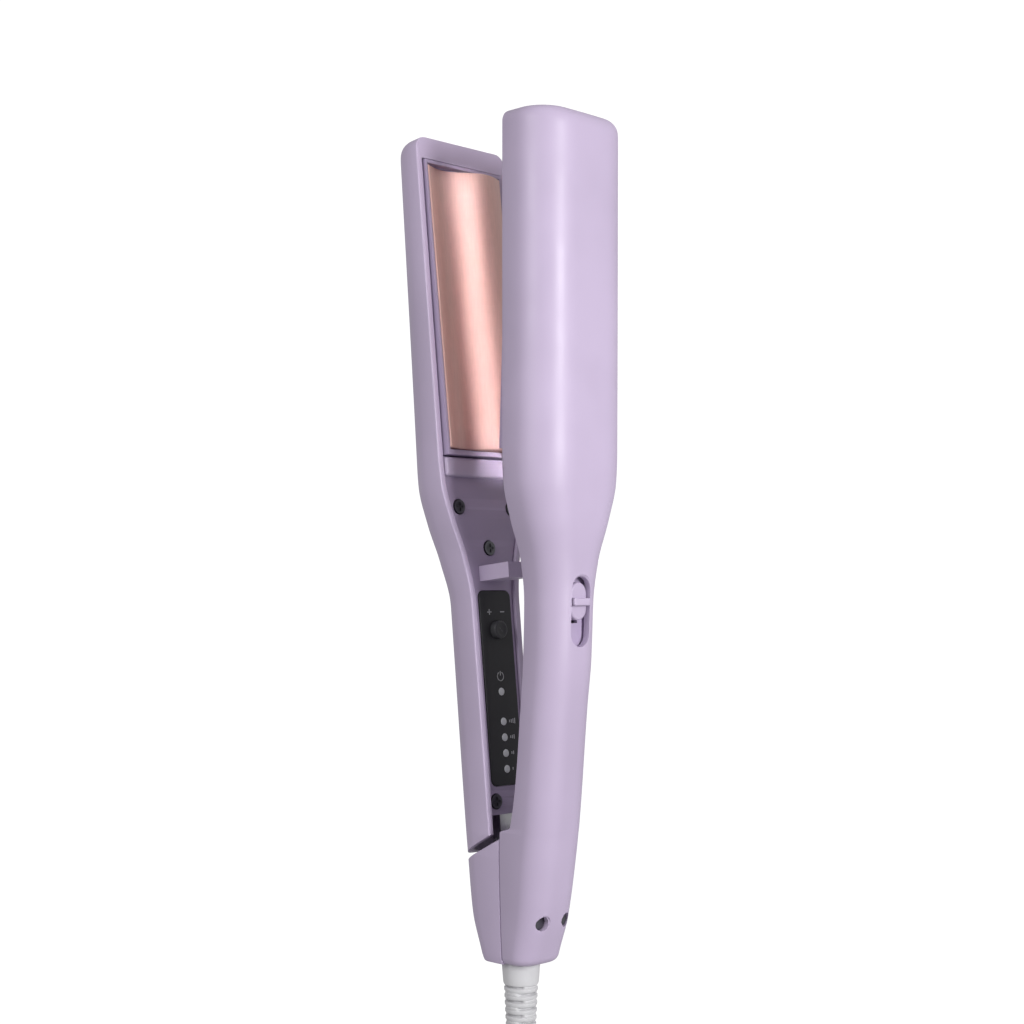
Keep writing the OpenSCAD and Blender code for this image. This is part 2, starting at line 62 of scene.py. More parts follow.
# ---------------------------------------------------------------- design coordinates
# As in the CAD: x from the cord end to the tips, y from the fixed arm to the moving arm, z across
# the width with 0 in the middle, in millimetres. spot() turns them into the row frame, in metres.
MM = 0.001
SHELL_LO, SHELL_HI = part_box("fixed_shell")
LENGTH = (SHELL_HI.x - SHELL_LO.x) / MM
BARREL_H = (SHELL_HI.z - SHELL_LO.z) / 2 / MM
FIXED_OUTER = -34.0  # y of the fixed barrel's outer face at the tip
START = Vector((SHELL_LO.x, SHELL_LO.y - FIXED_OUTER * MM, (SHELL_LO.z + SHELL_HI.z) / 2))
HINGE = Vector((26.0, 4.0, 0.0))
ARM_TILT = math.radians(6)
WALL = 2.4
DESIGN = Matrix.Translation(START) @ Matrix.Scale(MM, 4)
TURN = Matrix.Rotation(ARM_TILT, 4, "Z")
IN_ARM = DESIGN @ Matrix.Translation(HINGE) @ TURN @ Matrix.Translation(-HINGE)


def spot(x, y, z):
    return DESIGN @ Vector((x, y, z))


# ---------------------------------------------------------------- camera
ELEVATION = math.radians(45)
DISTANCE = 0.6
SIDE_STEP = -0.00316  # the cord's axis stands a little right of the middle of the picture
CAMERA_X = 131.6
look = Vector((0, math.cos(ELEVATION), -math.sin(ELEVATION)))
right = Vector((0, -math.sin(ELEVATION), -math.cos(ELEVATION)))
up = Vector((1, 0, 0))
camera = bpy.data.objects.new("camera", bpy.data.cameras.new("camera"))
camera.data.lens = 60.1
camera.data.sensor_width = 36
camera.data.shift_y = 0.0713
camera.data.clip_start, camera.data.clip_end = 0.01, 20
facing = Matrix((right, up, -look)).transposed().to_4x4()
camera.matrix_world = Matrix.Translation(spot(CAMERA_X, 0, 0) - look * DISTANCE + right * SIDE_STEP) @ facing
bpy.context.scene.collection.objects.link(camera)
bpy.context.scene.camera = camera
bpy.context.scene.view_settings.view_transform = "Standard"


# ---------------------------------------------------------------- materials
class Nodes:
    """A material's node tree, with short calls for the nodes that the surfaces share."""

    def __init__(self, name):
        self.material = bpy.data.materials.new(name)
        self.material.use_nodes = True
        self.tree = self.material.node_tree
        self.shader = self.tree.nodes["Principled BSDF"]
        self.coord = self.tree.nodes.new("ShaderNodeTexCoord").outputs["Object"]

    def link(self, a, b):
        self.tree.links.new(a, b)

    def noise(self, scale, detail=4.0, roughness=0.55, stretch=(1, 1, 1)):
        mapping = self.tree.nodes.new("ShaderNodeMapping")
        mapping.inputs["Scale"].default_value = stretch
        self.link(self.coord, mapping.inputs["Vector"])
        node = self.tree.nodes.new("ShaderNodeTexNoise")
        node.inputs["Scale"].default_value = scale
        node.inputs["Detail"].default_value = detail
        node.inputs["Roughness"].default_value = roughness
        self.link(mapping.outputs["Vector"], node.inputs["Vector"])
        return node.outputs["Fac"]

    def spread(self, value, low, high, start=0.35, end=0.65):
        node = self.tree.nodes.new("ShaderNodeMapRange")
        node.inputs["From Min"].default_value = start
        node.inputs["From Max"].default_value = end
        node.inputs["To Min"].default_value = low
        node.inputs["To Max"].default_value = high
        self.link(value, node.inputs["Value"])
        return node.outputs["Result"]

    def mix(self, factor, a, b):
        """a and b are colours or sockets"""
        node = self.tree.nodes.new("ShaderNodeMix")
        node.data_type = "RGBA"
        self.link(factor, node.inputs["Factor"])
        for socket, value in ((node.inputs[6], a), (node.inputs[7], b)):
            if isinstance(value, tuple):
                socket.default_value = (*value, 1)
            else:
                self.link(value, socket)
        return node.outputs[2]

    def edges(self, start=0.52, end=0.6):
        """1 on outward edges, 0 on flats"""
        geometry = self.tree.nodes.new("ShaderNodeNewGeometry")
        return self.spread(geometry.outputs["Pointiness"], 0, 1, start, end)

    def bump(self, height, strength, distance):
        node = self.tree.nodes.new("ShaderNodeBump")
        node.inputs["Strength"].default_value = strength
        node.inputs["Distance"].default_value = distance
        self.link(height, node.inputs["Height"])
        self.link(node.outputs["Normal"], self.shader.inputs["Normal"])


def shade(colour, k):
    return tuple(min(1.0, c * k) for c in colour)


def moulded(name, colour, rough=0.42, grain=2600, depth=0.00002, cloud=0.05, wear=0.16):
    """Moulded plastic: a fine spark texture, faint clouding, and edges rubbed paler"""
    m = Nodes(name)
    clouds = m.noise(18, 3)
    base = m.mix(m.spread(clouds, 0, 1), shade(colour, 1 - cloud), shade(colour, 1 + cloud))
    worn = m.mix(m.edges(), base, shade(colour, 1 + wear)) if wear else base
    m.link(worn, m.shader.inputs["Base Color"])
    m.link(m.spread(m.noise(60, 6), rough - 0.05, rough + 0.07), m.shader.inputs["Roughness"])
    m.bump(m.noise(grain, 2, 0.5), 0.35, depth)
    m.shader.inputs["Specular IOR Level"].default_value = 0.4
    return m.material


def brushed(name, colour, rough, along=(0.03, 1, 1), scale=1500, depth=0.00001, wear=1.15, metal=1.0,
            coat=0.0):
    """Metal with fine lines along its length, and brighter edges"""
    m = Nodes(name)
    lines = m.noise(scale, 3, 0.6, along)
    tint = m.mix(m.spread(lines, 0, 1, 0.3, 0.7), shade(colour, 0.95), shade(colour, 1.05))
    m.link(m.mix(m.edges(0.56, 0.66), tint, shade(colour, wear)), m.shader.inputs["Base Color"])
    m.link(m.spread(m.noise(90, 5), rough - 0.03, rough + 0.04), m.shader.inputs["Roughness"])
    m.bump(lines, 0.2, depth)
    m.shader.inputs["Metallic"].default_value = metal
    m.shader.inputs["Anisotropic"].default_value = 0.4
    m.shader.inputs["Coat Weight"].default_value = coat
    m.shader.inputs["Coat Roughness"].default_value = 0.3
    return m.material


def lens(name, colour):
    """Frosted lamp lens: smooth and milky, a little deeper in fine random patches"""
    m = Nodes(name)
    m.link(m.mix(m.spread(m.noise(500, 2), 0, 1), shade(colour, 0.93), colour), m.shader.inputs["Base Color"])
    m.link(m.spread(m.noise(300, 3), 0.22, 0.34), m.shader.inputs["Roughness"])
    m.bump(m.noise(900, 2), 0.15, 0.00001)
    m.shader.inputs["Coat Weight"].default_value = 0.5
    m.shader.inputs["Coat Roughness"].default_value = 0.12
    return m.material


LILAC = (0.48, 0.40, 0.55)
# The shell's lilac darkened: painted shade for the inner covers, which face the other arm
LILAC_PAINTED_SHADE = (0.38, 0.31, 0.45)
ROSE_GOLD = (0.80, 0.50, 0.46)
MATERIALS = {
    "shell": moulded("lilac_shell", LILAC, 0.4),
    # inner covers: the lilac darkened as painted shade
    "inner": moulded("lilac_painted_shade", LILAC_PAINTED_SHADE, 0.45),
    "plate": brushed("rose_gold_plate", ROSE_GOLD, 0.4, metal=0.45, coat=0.2),
    "ceramic": moulded("ceramic", (0.78, 0.75, 0.70), 0.6, 900, 0.00005, 0.08, 0.1),
    "steel": brushed("steel", (0.56, 0.56, 0.58), 0.28, (1, 1, 1), 900),
    # Screw steel made near black: painted shade standing in for the shade inside the screw holes
    "screw": brushed("steel_painted_shade", (0.10, 0.10, 0.11), 0.35, (1, 1, 1), 900, wear=2.2),
    "panel": moulded("panel_black", (0.035, 0.035, 0.039), 0.5, 2200, 0.00003, 0.12, 0),
    "button": moulded("button_black", (0.05, 0.05, 0.055), 0.42, 1800, 0.00003, 0.1, 0.8),
    "lamp": lens("lamp_lens", (0.66, 0.67, 0.70)),
    "board": moulded("circuit_board_green", (0.03, 0.14, 0.06), 0.4, 700, 0.00004, 0.2, 0.2),
    "cord": moulded("cord_white", (0.62, 0.615, 0.635), 0.46, 1500, 0.00003, 0.03, 0.05),
    "print": moulded("printed_grey", (0.50, 0.50, 0.52), 0.6, 3000, 0.00001, 0.08, 0),
}


# ---------------------------------------------------------------- mesh helpers
def piece(name, mesh, body, slot, replaces=(), material=None):
    obj = bpy.data.objects.new(name, mesh)
    bpy.context.scene.collection.objects.link(obj)
    mesh.materials.clear()
    mesh.materials.append(MATERIALS[material or slot])
    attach(obj, body)
    if replaces:
        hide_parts(*replaces)
    return obj


def finished(name, bm, matrix, sharp=35):
    """The mesh in the row frame, smooth but for its sharp edges"""
    bmesh.ops.transform(bm, matrix=matrix, verts=bm.verts)
    bmesh.ops.recalc_face_normals(bm, faces=bm.faces)
    for face in bm.faces:
        face.smooth = True
    mesh = bpy.data.meshes.new(name)
    bm.to_mesh(mesh)
    bm.free()
    mesh.set_sharp_from_angle(angle=math.radians(sharp))
    return mesh


def join_rings(bm, rings, caps=True):
    """Quads between rings of equal length, and flat ends"""
    rows = [[bm.verts.new(p) for p in ring] for ring in rings]
    n = len(rows[0])
    for a, b in zip(rows, rows[1:]):
        for k in range(n):
            bm.faces.new((a[k], a[(k + 1) % n], b[(k + 1) % n], b[k]))
    if caps:
        bm.faces.new(rows[0][::-1])
        bm.faces.new(rows[-1])
    return rows


def rounded_box(bm, x0, x1, y0, y1, half, r, middle=0.0, segments=3):
    made = bmesh.ops.create_cube(bm, size=1)["verts"]
    size = Matrix.Diagonal((x1 - x0, y1 - y0, 2 * half, 1))
    bmesh.ops.transform(bm, verts=made,
                        matrix=Matrix.Translation(((x0 + x1) / 2, (y0 + y1) / 2, middle)) @ size)
    edges = {e for v in made for e in v.link_edges}
    bmesh.ops.bevel(bm, geom=list(edges), offset=r, segments=segments, profile=0.5, affect="EDGES")


def turned(bm, profile, matrix, n=48):
    """A solid of revolution about the matrix's Z axis; profile is radius and height from foot to top"""
    rings = [[matrix @ Vector((r * math.cos(2 * math.pi * k / n), r * math.sin(2 * math.pi * k / n), h))
              for k in range(n)] for r, h in profile]
    join_rings(bm, rings)


def facing_y(x, y, z, side=1):
    """A frame at the point whose Z axis runs along side * y"""
    return Matrix.Translation((x, y, z)) @ Matrix.Rotation(-side * math.pi / 2, 4, "X")


def facing_x(x, y, z):
    return Matrix.Translation((x, y, z)) @ Matrix.Rotation(math.pi / 2, 4, "Y")


def obround(length, width, steps=12):
    """Points [x, z] round a stadium that lies along x, about its middle"""
    r, straight = width / 2, (length - width) / 2
    points = []
    for end in (1, -1):
        for k in range(steps + 1):
            a = -math.pi / 2 + math.pi * k / steps
            points.append((end * (straight + r * math.cos(a)), end * r * math.sin(a)))
    return points


def cut(obj, *cutters):
    """Takes the cutters, which are bmesh solids in design or arm coordinates, out of the object"""
    for bm, matrix in cutters:
        mesh = finished("cutter", bm, matrix)
        tool = bpy.data.objects.new("cutter", mesh)
        bpy.context.scene.collection.objects.link(tool)
        modifier = obj.modifiers.new("cut", "BOOLEAN")
        modifier.operation = "DIFFERENCE"
        modifier.solver = "EXACT"
        modifier.object = tool
        apply(obj)
        bpy.data.objects.remove(tool)


def apply(obj, sharp=35):
    """Bakes the modifiers into the mesh"""
    shown = obj.evaluated_get(bpy.context.evaluated_depsgraph_get())
    mesh = bpy.data.meshes.new_from_object(shown)
    old, obj.data = obj.data, mesh
    obj.modifiers.clear()
    bpy.data.meshes.remove(old)
    mesh.set_sharp_from_angle(angle=math.radians(sharp))


def soften(obj, width, segments=3, angle=40):
    """Rounds the piece's hard edges"""
    modifier = obj.modifiers.new("soft_edges", "BEVEL")
    modifier.width = width * MM
    modifier.segments = segments
    modifier.limit_method = "ANGLE"
    modifier.angle_limit = math.radians(angle)
    modifier.use_clamp_overlap = True
    modifier.harden_normals = True


# ---------------------------------------------------------------- the free cord
CORD_D = 6.5
LEAD = [(-42, 0, 0), (-54, 0, 0), (-62, 0.5, -0.4), (-70, 2.1, -1.7), (-78, 4.5, -3.7), (-86, 7.6, -6.1),
        (-94, 11, -8.8), (-102, 14.4, -11.6), (-110, 17.5, -14), (-118, 19.9, -16), (-126, 21.5, -17.3),
        (-134, 22, -17.7)]
TAIL = [(-246, 22, 16.3), (-252.6, 22, 15.7), (-259.2, 22, 13.8), (-265.8, 22, 10.9), (-272.4, 22, 7.2),
        (-279, 22, 3.2), (-285.6, 22, -0.9), (-292.2, 22, -4.6), (-298.8, 22, -7.5), (-305.4, 22, -9.4),
        (-312, 22, -10)]
TURN_R, TURNS, LAYER = 22, 5, 6.8
NEAR_X = -149.3  # where the turns' straight runs meet the bend nearest the iron
FAR_X = -233.3


def turn_points():
    """The stack of racetrack turns, which climbs one layer in each bend nearest the iron"""
    points, steps = [], 14
    for turn in range(TURNS):
        z = LEAD[-1][2] + LAYER * turn
        points += [(x, TURN_R, z) for x in (NEAR_X, NEAR_X - 28, NEAR_X - 56)]
        for k in range(steps + 1):
            a = math.pi / 2 + math.pi * k / steps
            points.append((FAR_X + TURN_R * math.cos(a), TURN_R * math.sin(a), z))
        points += [(x, -TURN_R, z) for x in (NEAR_X - 56, NEAR_X - 28)]
        for k in range(steps):
            a = -math.pi / 2 + math.pi * k / steps
            rise = LAYER * (1 - math.cos(math.pi * k / steps)) / 2
            points.append((NEAR_X + TURN_R * math.cos(a), TURN_R * math.sin(a), z + rise))
    top = LEAD[-1][2] + LAYER * TURNS
    return points + [(x, TURN_R, top) for x in (NEAR_X, NEAR_X - 42, FAR_X)]


def smooth_line(points, per=4):
    """A Catmull-Rom line through the points"""
    points = [Vector(p) for p in points]
    ends = [2 * points[0] - points[1], *points, 2 * points[-1] - points[-2]]
    line = []
    for a, b, c, d in zip(ends, ends[1:], ends[2:], ends[3:]):
        for k in range(per):
            t = k / per
            line.append(0.5 * (2 * b + (c - a) * t + (2 * a - 5 * b + 4 * c - d) * t * t
                               + (3 * b - a - 3 * c + d) * t ** 3))
    return line + [points[-1]]


def make_cord():
    line = [DESIGN @ p for p in smooth_line(LEAD + turn_points() + TAIL)]
    curve = bpy.data.curves.new("power_cord_line", "CURVE")
    curve.dimensions = "3D"
    spline = curve.splines.new("POLY")
    spline.points.add(len(line) - 1)
    for point, at in zip(spline.points, line):
        point.co = (*at, 1)
    curve.bevel_depth = CORD_D / 2 * MM
    curve.bevel_resolution = 6
    curve.use_fill_caps = True
    length = sum((b - a).length for a, b in zip(line, line[1:]))
    obj = bpy.data.objects.new("power_cord_line", curve)
    bpy.context.scene.collection.objects.link(obj)
    curve.materials.append(MATERIALS["cord"])
    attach(obj, "fixed_arm")
    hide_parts("power_cord", "cord_hank")
    return obj, length


def make_strain_relief():
    """A collar, then rings that taper along the cord, each groove open in two windows a quarter turn on"""
    rows, around = [], 72
    collar, ribs, pitch, end = 8.0, 13, 2.5, 42.0
    stops = [(-4.9, 8.0, 0), (-3.1, 8.0, 0), (-2.9, 6.5, 0), (0.2, 6.5, 0), (0.5, 6.75, 0), (2.5, 6.65, 0),
             (5.5, 6.42, 0), (7.4, 6.25, 0), (collar, 6.05, 0)]
    for k in range(ribs):
        x, r = collar + pitch * k, 5.95 - 0.115 * k
        odd = 1 if k % 2 else -1
        stops += [(x + 0.12, r - 0.25, 0), (x + 0.3, r, odd), (x + 1.0, r, odd), (x + 1.18, r - 0.2, 0),
                  (x + 1.35, r, 0), (x + 2.2, r - 0.03, 0)]
    stops += [(end - 1.3, 4.42, 0), (end - 0.5, 4.25, 0), (end, 3.8, 0), (end, 3.3, 0)]
    for x, r, groove in stops:
        ring = []
        for k in range(around):
            a = 2 * math.pi * k / around
            open_here = 0.5 + 0.5 * math.tanh(6 * (math.cos(2 * a) * groove + 0.25)) if groove else 0
            ring.append((-x, (r - 1.5 * open_here) * math.cos(a), (r - 1.5 * open_here) * math.sin(a)))
        rows.append(ring)
    bm = bmesh.new()
    join_rings(bm, rows)
    mesh = finished("strain_relief_skin", bm, DESIGN, 50)
    return piece("strain_relief_skin", mesh, "fixed_arm", "cord", ["strain_relief"])


def make_tie():
    """A soft strap round the hank, bevelled toward its edges"""
    (x0, y0, z0), (x1, y1, z1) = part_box("cord_tie")
    t, r = 0.8 * MM, 5 * MM
    outline = []
    corners = ((y1 - r, z1 - r), (y0 + r, z1 - r), (y0 + r, z0 + r), (y1 - r, z0 + r))
    for start, (cy, cz) in zip((0, 90, 180, 270), corners):
        for k in range(9):
            a = math.radians(start + 90 * k / 8)
            outline.append((cy, cz, math.cos(a), math.sin(a)))
    bm = bmesh.new()
    edge = 0.3 * MM
    inner = [[(x, cy + (r - t) * c, cz + (r - t) * s) for cy, cz, c, s in outline] for x in (x0, x1)]
    outer = [[(x, cy + r * c, cz + r * s) for cy, cz, c, s in outline] for x in (x1 - edge, x0 + edge)]
    rows = [inner[0], inner[1], outer[0], outer[1]]
    made = [[bm.verts.new(p) for p in ring] for ring in rows]
    n = len(outline)
    for i in range(4):
        a, b = made[i], made[(i + 1) % 4]
        for k in range(n):
            bm.faces.new((a[k], a[(k + 1) % n], b[(k + 1) % n], b[k]))
    mesh = finished("cord_tie_strap", bm, Matrix.Identity(4))
    return piece("cord_tie_strap", mesh, "fixed_arm", "cord", ["cord_tie"])


def make_plug():
    """A moulded two-pin plug: a flared sleeve, a soft-edged body with finger grooves, and a flat face"""
    (x0, y0, z0), (x1, y1, z1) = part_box("plug_body")
    mid = Vector(((x0 + x1) / 2, (y0 + y1) / 2, (z0 + z1) / 2))
    half_y, half_z = (y1 - y0) / 2, (z1 - z0) / 2
    length = x1 - x0
    bm = bmesh.new()
    rings, n = [], 64
    stops = [(0.0, 0.27, 0.36), (0.02, 0.29, 0.38), (0.26, 0.29, 0.38), (0.30, 0.33, 0.44),
             (0.36, 0.50, 0.62), (0.42, 0.68, 0.78), (0.48, 0.84, 0.90), (0.56, 0.86, 0.93),
             (0.60, 0.83, 0.91), (0.64, 0.89, 0.95), (0.68, 0.87, 0.93), (0.72, 0.94, 0.97),
             (0.76, 0.92, 0.95), (0.82, 0.99, 1.0), (0.95, 1.0, 1.0), (0.985, 0.98, 0.97), (1.0, 0.93, 0.9)]
    for along, wide, tall in stops:
        soft = 2.0 + 2.2 * min(1.0, max(0.0, (along - 0.28) / 0.3))
        ring = []
        for k in range(n):
            a = 2 * math.pi * k / n
            c, s = math.cos(a), math.sin(a)
            ring.append((x1 - along * length,
                         mid.y + wide * half_y * math.copysign(abs(c) ** (2 / soft), c),
                         mid.z + tall * half_z * math.copysign(abs(s) ** (2 / soft), s)))
        rings.append(ring)
    join_rings(bm, rings)
    mesh = finished("plug_skin", bm, Matrix.Identity(4))
    return piece("plug_skin", mesh, "fixed_arm", "cord", ["plug_body"])


cord, cord_length = make_cord()
relief = make_strain_relief()
tie = make_tie()
plug = make_plug()


# ---------------------------------------------------------------- the arms' skins
# Stations: x, half width, outer face, rim, corner radius, as the CAD's
FIXED = [
    (0, 10.2, -11.6, -1, 6), (4, 10.6, -12.8, -1, 6.6), (16, 11.2, -17, -1, 8), (40, 11.8, -21.2, -1, 9),
    (46, 11.8, -22, -1, 9), (48, 11.8, -22.3, -6, 9), (90, 11.8, -26.2, -11.2, 9),
    (106, 11.9, -28, -12.5, 9.2), (126, 12.1, -28.9, -13.2, 9.5), (140, 14, -29.8, -13.4, 10),
    (154, 18.4, -31.8, -12.8, 12),
    (167, 21.6, -33.2, -12.6, 13.5), (176, BARREL_H, -33.6, -12.6, 14),
    (LENGTH, BARREL_H, FIXED_OUTER, -12.6, 14)]
ARM_LENGTH = LENGTH + 0.6
MOVING = [
    (31, 11.7, 18.4, 3, 8.6), (34, 11.8, 19.1, 2.4, 9), (50, 11.8, 19.3, 2, 9), (126, 12, 19, 2, 9.5),
    (142, 14.4, 20.8, 2.4, 10), (155, 18.5, 22.2, 2.8, 11.4), (168, 21.6, 22.6, 3, 12),
    (178, BARREL_H, 22.2, 3, 12), (ARM_LENGTH, BARREL_H, 19.4, 3, 12)]
BASE = [(0, 10.2, 12.2, -0.8, 6), (4, 10.6, 13.6, -0.8, 6.6), (16, 11.2, 17.8, -0.8, 8),
        (34, 11.7, 20.2, -0.8, 9), (44, 11.8, 21, -0.8, 9)]
CARRIER_END = LENGTH - 7.6
COVER_X = 177.6


def station(table, x):
    """All columns of a table of stations on a smooth monotone curve"""
    i = max(k for k in range(len(table) - 1) if k == 0 or x >= table[k][0])
    d = table[i + 1][0] - table[i][0]
    u = (x - table[i][0]) / d

    def slope(k, c):
        return (table[k + 1][c] - table[k][c]) / (table[k + 1][0] - table[k][0])

    def tangent(k, c):
        if k in (0, len(table) - 1):
            return slope(min(k, len(table) - 2), c)
        a, b = slope(k - 1, c), slope(k, c)
        return 0 if a * b <= 0 else 2 * a * b / (a + b)

    return [(2 * u ** 3 - 3 * u ** 2 + 1) * table[i][c] + (u ** 3 - 2 * u ** 2 + u) * tangent(i, c) * d
            + (3 * u ** 2 - 2 * u ** 3) * table[i + 1][c] + (u ** 3 - u ** 2) * tangent(i + 1, c) * d
            for c in range(1, 5)]


def steps_between(stops, step):
    """Numbers from the first stop to the last, through each, about a step apart"""
    xs = []
    for a, b in zip(stops, stops[1:]):
        n = max(1, round((b - a) / step))
        xs += [a + (b - a) * k / n for k in range(n)]
    return xs + [stops[-1]]


CROWN = 0.7  # how far the outer face falls toward its corners
ROUND = 14  # steps round a corner


def half_path(h, outer, rim, r, side, lip, inward=0):
    """Half of a rounded box from rim to rim as (y, z), with its lip rounded; inward is the wall"""
    h, outer, r = h - inward, outer - side * inward, max(0.5, r - inward)
    depth = abs(outer - rim)
    turn = [math.pi / 2 * k / 3 for k in range(4)]
    sign = -1 if inward else 1
    first = [(rim + side * lip * (1 - math.cos(a)), h - sign * lip * (1 - math.sin(a))) for a in turn]
    corner = []
    for k in range(ROUND + 1):
        a = math.pi / 2 * k / ROUND
        corner.append((outer - side * r * (1 - math.sin(a)), h - r * (1 - math.cos(a))))
    half = first + corner
    half += [(outer, (h - r) * (1 - k / 4)) for k in (1, 2, 3)]
    whole = half + [(outer, 0)] + [(y, -z) for y, z in reversed(half)]
    return [(y - side * CROWN * (z / h) ** 2 * min(1, abs(y - rim) / depth), z) for y, z in whole]


def channel(table, xs, side, wall, end_r, closed, foot_r=0.0):
    """The skin of an arm: an open channel with a closed, rounded tip, and a foot where foot_r is given"""
    bm = bmesh.new()
    rings = []
    x_end = xs[-1]
    for x in xs:
        h, outer, rim, r = station(table, x)
        t = max(0.0, (x - (x_end - end_r)) / end_r)
        s = max(0.0, (x - (x_end - 1.6 * end_r)) / (1.6 * end_r))
        if foot_r:
            t = max(t, (foot_r - x) / foot_r)
            s = max(s, (foot_r - x) / foot_r)
        tuck = min(end_r, foot_r or end_r) if x < foot_r else end_r
        inset = tuck * (1 - math.sqrt(max(0, 1 - min(t, 1) ** 2)))
        drop = (tuck if x < foot_r else 1.5 * tuck) * (1 - math.sqrt(max(0, 1 - min(s, 1) ** 2)))
        h, outer, r = h - inset, outer - side * drop, max(2.0, r - max(inset, drop))
        out = half_path(h, outer, rim, r, side, 0.45)
        if closed(x):
            n = len(out)
            inner = [(rim, (h - 0.6) * (1 - 2 * k / (n - 1))) for k in range(n)]
        else:
            inner = half_path(h, outer, rim, r, side, 0.3, wall)
        rings.append([(x, y, z) for y, z in out] + [(x, y, z) for y, z in reversed(inner)])
    rows = join_rings(bm, rings, caps=False)
    n = len(rows[0])
    for row in (rows[0], rows[-1]):
        for k in range(n // 2 - 1):
            bm.faces.new((row[k], row[k + 1], row[n - 2 - k], row[n - 1 - k]))
    return bm


def tip_steps(end, r):
    return [end - 1.6 * r * (1 - math.sin(math.pi / 2 * k / 10)) for k in range(11)]


def foot_steps(r):
    return [r * (1 - math.cos(math.pi / 2 * k / 8)) for k in range(9)]


def prism(points, y0, y1):
    """A solid between two flat outlines of points (x, z)"""
    bm = bmesh.new()
    join_rings(bm, [[(x, y, z) for x, z in points] for y in (y0, y1)])
    return bm


def slice_across(points):
    """A cutter right across the width, from its side view in points (x, y)"""
    bm = bmesh.new()
    join_rings(bm, [[(x, y, z) for x, y in points] for z in (-20, 20)])
    return bm


def drill(x, y, z, depth, r, flare=0.0, side=1):
    """A round cutter along y, wider where it breaks the surface at y"""
    bm = bmesh.new()
    turned(bm, [(r, -depth), (r, 0), (r + flare, flare), (r + flare, 6)], facing_y(x, y, z, side), 40)
    return bm


SLOT_X, SLOT_L, SLOT_W = 110.5, 24.0, 9.0
BASE_SCREWS = [(15.6, 5.6), (15.6, -5.6)]


def slot_cutter():
    """The lock's slot, with a small chamfer where it meets the outer face"""
    bm = bmesh.new()
    rings = []
    for y, grow in ((-22, 0), (-28.0, 0), (-28.75, 0.1), (-29.3, 0.75), (-36, 0.75)):
        rings.append([(SLOT_X + SLOT_L / 2 + x, y, z)
                      for x, z in obround(SLOT_L + 2 * grow, SLOT_W + 2 * grow)])
    join_rings(bm, rings)
    return bm


def relief_cutter():
    bm = bmesh.new()
    turned(bm, [(6.85, -1), (6.85, 8)], facing_x(0, 0, 0), 64)
    return bm


def make_fixed_shell():
    end_r = 4.2
    xs = foot_steps(2.6) + steps_between([4, 16, 40, 45.6], 2) + steps_between([46, 48.2], 0.25) + \
        steps_between([49, 90, 176], 2) + steps_between([180, CARRIER_END], 8) + \
        [CARRIER_END + 0.15, CARRIER_END + 0.3] + tip_steps(LENGTH, end_r)
    bm = channel(FIXED, sorted(set(xs)), -1, WALL, end_r, lambda x: x > CARRIER_END + 0.2 or x < 2.4, 2.6)
    obj = piece("fixed_shell_skin", finished("fixed_shell_skin", bm, DESIGN), "fixed_arm", "shell",
                ["fixed_shell"])
    holes = [(drill(x, -16.4, z, 20, 2.45, 0.35, -1), DESIGN) for x, z in BASE_SCREWS]
    cut(obj, (slot_cutter(), DESIGN), (relief_cutter(), DESIGN), *holes)
    return obj


def make_base_cover():
    xs = foot_steps(2.6) + steps_between([4, 16, 34, 44], 1.5)
    bm = channel(BASE, sorted(set(xs)), 1, 2.0, 0.4, lambda x: x < 2.0, 2.6)
    mesh = finished("base_cover_skin", bm, DESIGN)
    obj = piece("base_cover_skin", mesh, "fixed_arm", "shell", ["base_cover"])
    top = [(33.2, 34), (33.2, 20.8), (33.7, 18.6), (34.8, 16.2), (43.3, -0.3), (44.2, -1.6), (60, -1.6),
           (60, 34)]
    cut(obj, (slice_across(top), DESIGN), (relief_cutter(), DESIGN))
    return obj


def make_moving_shell():
    end_r = 4.2
    xs = steps_between([31, 34, 50], 1.5) + steps_between([52, 126, 178], 2) + \
        steps_between([182, CARRIER_END + 0.2], 8) + [CARRIER_END + 0.35, CARRIER_END + 0.5] + \
        tip_steps(ARM_LENGTH, end_r)
    bm = channel(MOVING, sorted(set(xs)), 1, WALL, end_r, lambda x: x > CARRIER_END + 0.4)
    obj = piece("moving_shell_skin", finished("moving_shell_skin", bm, IN_ARM), "moving_arm", "shell",
                ["moving_shell"])
    tail = [(20, 34), (20, -6), (47.6, -6), (47, -1), (46.2, 1), (36.4, 18.8), (35, 22.6), (34.6, 34)]
    cut(obj, (slice_across(tail), DESIGN))
    return obj


def lidded(bm, xs, table, top, thick, inside, lip=0.5):
    """A plate that fills a channel's mouth; top(x) is its surface, thick runs the way of the outer face"""
    rings = []
    for x in xs:
        w = station(table, x)[0] - inside
        y = top(x)
        s = math.copysign(1, thick)
        edge = [(y + s * lip * (1 - math.cos(a)), w - lip * (1 - math.sin(a)))
                for a in (0, math.pi / 6, math.pi / 3, math.pi / 2)]
        half = edge + [(y + thick, w)]
        rings.append([(x, yy, z) for yy, z in half] + [(x, yy, -z) for yy, z in reversed(half)])
    join_rings(bm, rings)


MOVING_SCREWS = [(160, 13), (160, -13), (145.4, 0), (55.7, 6.2)]
FIXED_SCREWS = [(160, 12.6), (160, -12.6), (100, 0), (57, 0)]
COVER_DROP = 1.0
PANEL_X, PANEL_L, PANEL_W, PANEL_Y = 61.0, 69.0, 15.6, 2.6
BUTTON_X = 116.0
LAMPS = [94.0, 83.4, 77.8, 72.2, 66.6]


